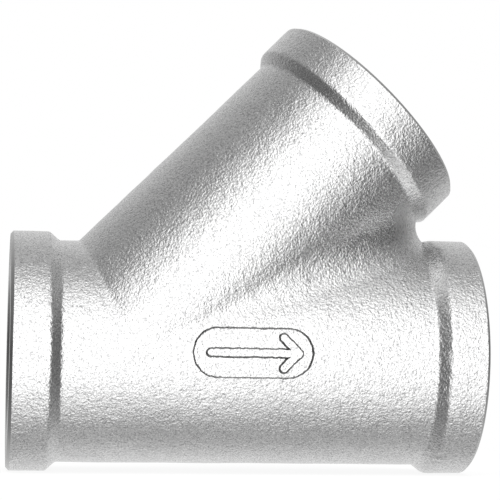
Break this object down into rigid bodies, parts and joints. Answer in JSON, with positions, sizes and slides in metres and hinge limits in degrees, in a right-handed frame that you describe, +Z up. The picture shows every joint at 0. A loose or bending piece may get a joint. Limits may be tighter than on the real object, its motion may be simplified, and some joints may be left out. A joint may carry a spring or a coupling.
{
  "type": "y strainer",
  "caption": "Cast Y body with two screwed ends in line, a tubular screen in a 45 degree branch, and a recessed access plug that holds a blow-off plug.",
  "frame": {"origin": "centre of the inlet end face, on the run's axis", "axes": "+X along the run in the way of the flow, towards the outlet; +Z up; the branch leans in the XZ plane, half way between +X and +Z; the flow mark is on the -Y side"},
  "size_m": [0.0589, 0.0304, 0.0576],
  "materials": {
    "cast_stainless": "investment cast and bead blasted, fine grain",
    "turned_stainless": "turned",
    "sheet_stainless": "rolled perforated sheet",
    "wire_stainless": "woven fine wire",
    "seal_white": "smooth white sealing plastic"
  },
  "bodies": {
    "casting": {"body": "cast_stainless"},
    "screen": {"screen_tube": "sheet_stainless", "screen_mesh": "wire_stainless", "screen_seat_ring": "turned_stainless", "screen_plug_ring": "turned_stainless"},
    "gasket": {"plug_gasket": "seal_white"},
    "plug": {"access_plug": "turned_stainless"},
    "washer": {"blow_off_washer": "seal_white"},
    "blow_off": {"blow_off_plug": "turned_stainless"}
  },
  "joints": [
    {"name": "screen_draw", "type": "slide", "parent": "casting", "child": "screen", "axis": [0.7071, 0, 0.7071], "range_m": [0, 0.042]},
    {"name": "plug_travel", "type": "slide", "parent": "screen", "child": "gasket", "axis": [0.7071, 0, 0.7071], "range_m": [0, 0.01406]},
    {"name": "plug_turn", "type": "hinge", "parent": "gasket", "child": "plug", "pos_m": [0.04137, 0, 0.02687], "axis": [0.7071, 0, 0.7071], "range_deg": [0, 2790]},
    {"name": "blow_off_travel", "type": "slide", "parent": "plug", "child": "washer", "axis": [0.7071, 0, 0.7071], "range_m": [0, 0.00453]},
    {"name": "blow_off_turn", "type": "hinge", "parent": "washer", "child": "blow_off", "pos_m": [0.04137, 0, 0.02687], "axis": [0.7071, 0, 0.7071], "range_deg": [0, 1800]}
  ],
  "couplings": [
    {"joint": "plug_turn", "follows": "plug_travel", "rad_per_m": 3463.2},
    {"joint": "blow_off_turn", "follows": "blow_off_travel", "rad_per_m": 6926.3}
  ]
}
